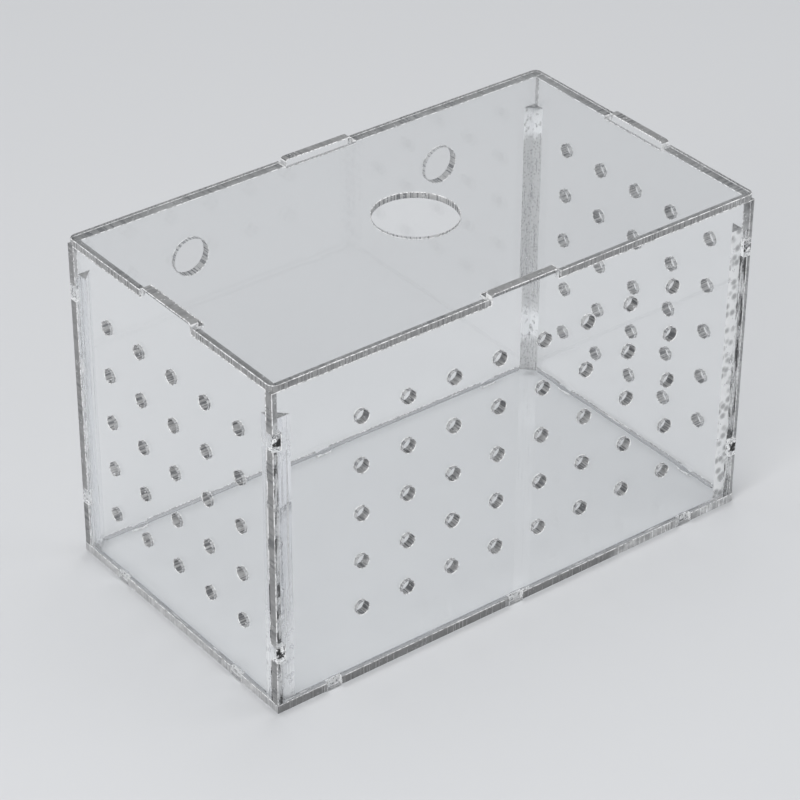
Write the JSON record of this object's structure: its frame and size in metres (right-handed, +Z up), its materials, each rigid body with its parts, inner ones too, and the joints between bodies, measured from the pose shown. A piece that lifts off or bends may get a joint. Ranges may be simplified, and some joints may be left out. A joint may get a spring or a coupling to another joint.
{
  "type": "fish breeding box",
  "caption": "Clear acrylic fish breeding box with perforated front and end walls, cup holes in the back wall and a loose notched lid.",
  "frame": {"origin": "middle of the underside of the floor panel", "axes": "+X along the long side, +Y from the perforated front wall to the back wall, +Z up"},
  "size_m": [0.161, 0.0926, 0.1029],
  "materials": {
    "acrylic_floor": "clear polished sheet with frosted laser-cut edges",
    "acrylic_walls": "clear polished sheet with frosted laser-cut edges",
    "acrylic_strips": "clear solid strip with frosted ends, glued on two sides",
    "acrylic_lid": "clear polished sheet with frosted laser-cut edges"
  },
  "bodies": {
    "tank": {"floor_panel": "acrylic_floor", "front_wall": "acrylic_walls", "back_wall": "acrylic_walls", "left_wall": "acrylic_walls", "right_wall": "acrylic_walls", "strip_front_left": "acrylic_strips", "strip_front_right": "acrylic_strips", "strip_back_left": "acrylic_strips", "strip_back_right": "acrylic_strips"},
    "lid": {"lid": "acrylic_lid"}
  },
  "joints": [
    {"name": "lid_lift", "type": "slide", "parent": "tank", "child": "lid", "axis": [0, 0, 1], "range_m": [0, 0.06]}
  ]
}
